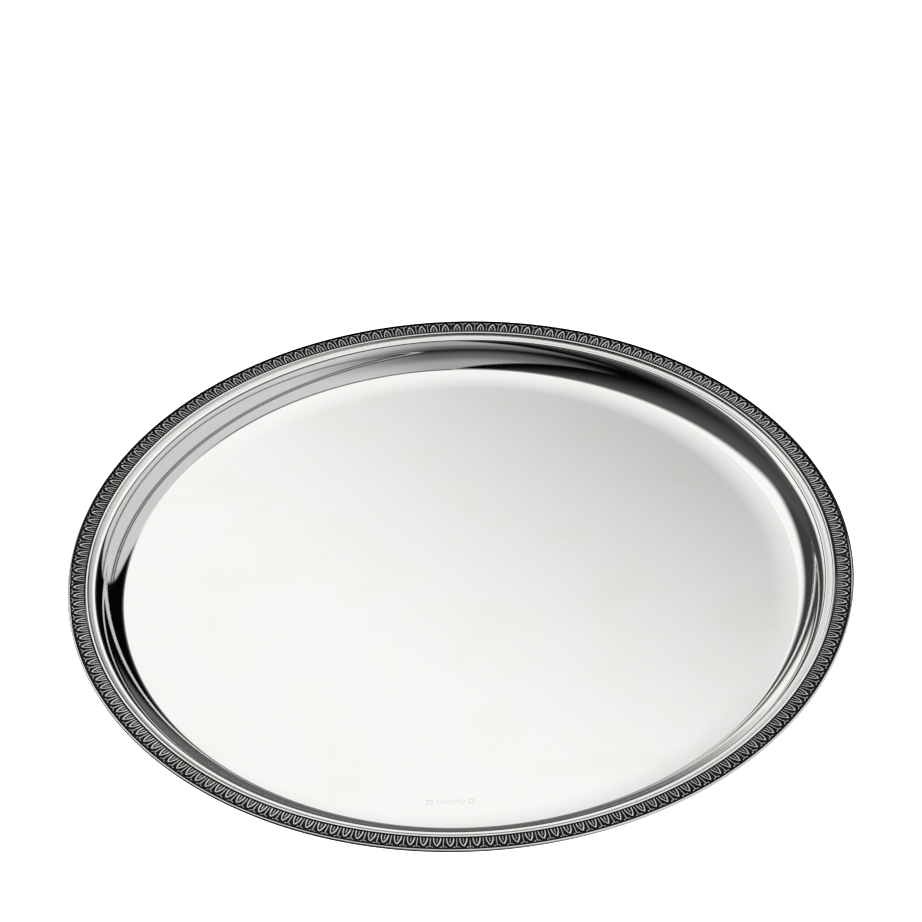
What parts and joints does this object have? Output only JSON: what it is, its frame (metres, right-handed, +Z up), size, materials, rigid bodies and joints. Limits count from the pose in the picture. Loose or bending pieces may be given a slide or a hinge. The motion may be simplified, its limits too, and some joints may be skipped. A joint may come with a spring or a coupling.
{
  "type": "round serving tray",
  "caption": "Round silver-plated serving tray with a flat polished well, a curved wall with a rolled lip, a narrow flange and an applied border of small pointed leaves between plain bead wires.",
  "frame": {"origin": "middle of the flat underside that the tray stands on", "axes": "+Z up along the tray's axis, away from the surface that it stands on; X and Y across the round"},
  "size_m": [0.35, 0.35, 0.0125],
  "materials": {
    "pan_silver": "silver plate, mirror polished",
    "moulding_silver": "silver plate, bright polished",
    "frieze_silver": "silver plate, relief polished over a darkened ground"
  },
  "bodies": {
    "root": {"tray_pan": "pan_silver", "inner_bead_wire": "moulding_silver", "outer_edge_wire": "moulding_silver", "frieze_strip_1": "frieze_silver", "frieze_strip_2": "frieze_silver", "frieze_strip_3": "frieze_silver", "frieze_strip_4": "frieze_silver"}
  },
  "joints": []
}
